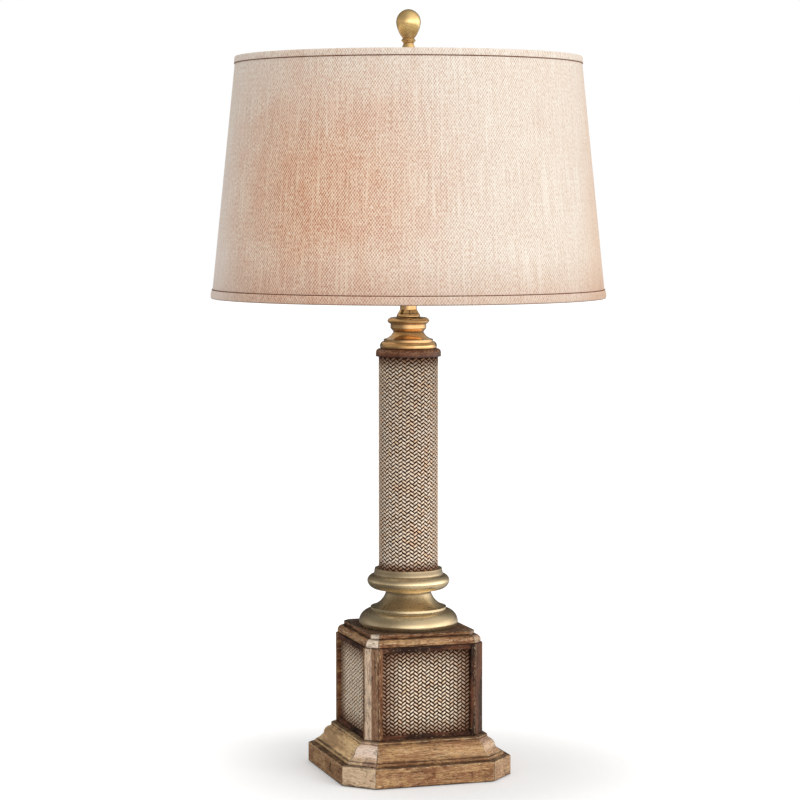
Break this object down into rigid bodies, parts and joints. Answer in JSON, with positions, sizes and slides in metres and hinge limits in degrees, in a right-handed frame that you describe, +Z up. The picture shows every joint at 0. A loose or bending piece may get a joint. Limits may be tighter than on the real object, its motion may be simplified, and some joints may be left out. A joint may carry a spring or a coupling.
{
  "type": "table lamp",
  "caption": "Table lamp with a tapered drum shade, a woven column between turned brass fittings and a square plinth with cut corners.",
  "frame": {"origin": "centre of the underside", "axes": "+Z up along the column; the switch and the plinth's front face -Y, the cord leaves towards +Y"},
  "size_m": [0.4081, 0.4082, 0.79],
  "materials": {
    "felt": "short felt",
    "plinth_wood": "distressed and glazed, satin",
    "bare_wood": "unfinished",
    "woven_cane": "herringbone weave, matt",
    "cast_iron": "as cast",
    "steel": "zinc plated",
    "bushing_plastic": "moulded",
    "antique_brass": "antiqued satin",
    "ring_wood": "stained and waxed",
    "harp_metal": "brass plated",
    "socket_brass": "polished",
    "phenolic": "moulded",
    "bulb_cap_metal": "rolled",
    "insulator": "glazed",
    "frosted_glass": "frosted",
    "shade_linen": "slubbed linen on a stiff liner",
    "trim_linen": "self fabric tape",
    "rim_metal": "white enamel"
  },
  "bodies": {
    "base": {"felt_pad": "felt", "base_slab": "plinth_wood", "base_moulding": "plinth_wood", "ballast": "cast_iron", "carcass": "bare_wood", "post_front_left": "plinth_wood", "post_front_right": "plinth_wood", "post_back_right": "plinth_wood", "post_back_left": "plinth_wood", "bottom_rails": "plinth_wood", "top_rails": "plinth_wood", "panel_front": "woven_cane", "panel_right": "woven_cane", "panel_back": "woven_cane", "panel_left": "woven_cane", "cord_bushing": "bushing_plastic", "rod_washer": "steel", "rod_nut": "steel", "threaded_rod": "steel", "cap_moulding": "plinth_wood", "cap_plate": "plinth_wood", "pedestal": "antique_brass", "column_tube": "bare_wood", "column_weave": "woven_cane", "column_ring": "ring_wood", "column_cap": "antique_brass", "neck": "antique_brass", "harp_saddle": "harp_metal", "socket_cap": "socket_brass", "socket_body": "phenolic", "socket_shell": "socket_brass", "screw_shell": "socket_brass", "centre_contact": "socket_brass"},
    "harp": {"harp": "harp_metal", "harp_stud": "harp_metal"},
    "sleeve_left": {"sleeve_left": "harp_metal"},
    "sleeve_right": {"sleeve_right": "harp_metal"},
    "shade": {"shade_panel": "shade_linen", "trim_top": "trim_linen", "trim_bottom": "trim_linen", "top_ring": "rim_metal", "bottom_ring": "rim_metal", "spider": "harp_metal"},
    "finial": {"finial": "antique_brass"},
    "switch": {"switch_knob": "phenolic"},
    "bulb": {"bulb_tip": "insulator", "bulb_base": "bulb_cap_metal", "bulb_glass": "frosted_glass"}
  },
  "joints": [
    {"name": "harp_lift", "type": "slide", "parent": "base", "child": "harp", "axis": [0, 0, 1], "range_m": [0, 0.025]},
    {"name": "sleeve_left_slide", "type": "slide", "parent": "harp", "child": "sleeve_left", "axis": [0, 0, 1], "range_m": [0, 0.016]},
    {"name": "sleeve_right_slide", "type": "slide", "parent": "harp", "child": "sleeve_right", "axis": [0, 0, 1], "range_m": [0, 0.016]},
    {"name": "shade_swivel", "type": "hinge", "parent": "harp", "child": "shade", "pos_m": [0, 0, 0.7311], "axis": [0, 0, 1], "continuous": true},
    {"name": "finial_turn", "type": "hinge", "parent": "harp", "child": "finial", "pos_m": [0, 0, 0.733], "axis": [0, 0, 1], "continuous": true},
    {"name": "switch_turn", "type": "hinge", "parent": "base", "child": "switch", "pos_m": [0, -0.02, 0.5125], "axis": [0, -1, 0], "continuous": true},
    {"name": "bulb_turn", "type": "hinge", "parent": "base", "child": "bulb", "pos_m": [0, 0, 0.5238], "axis": [0, 0, 1], "continuous": true}
  ]
}
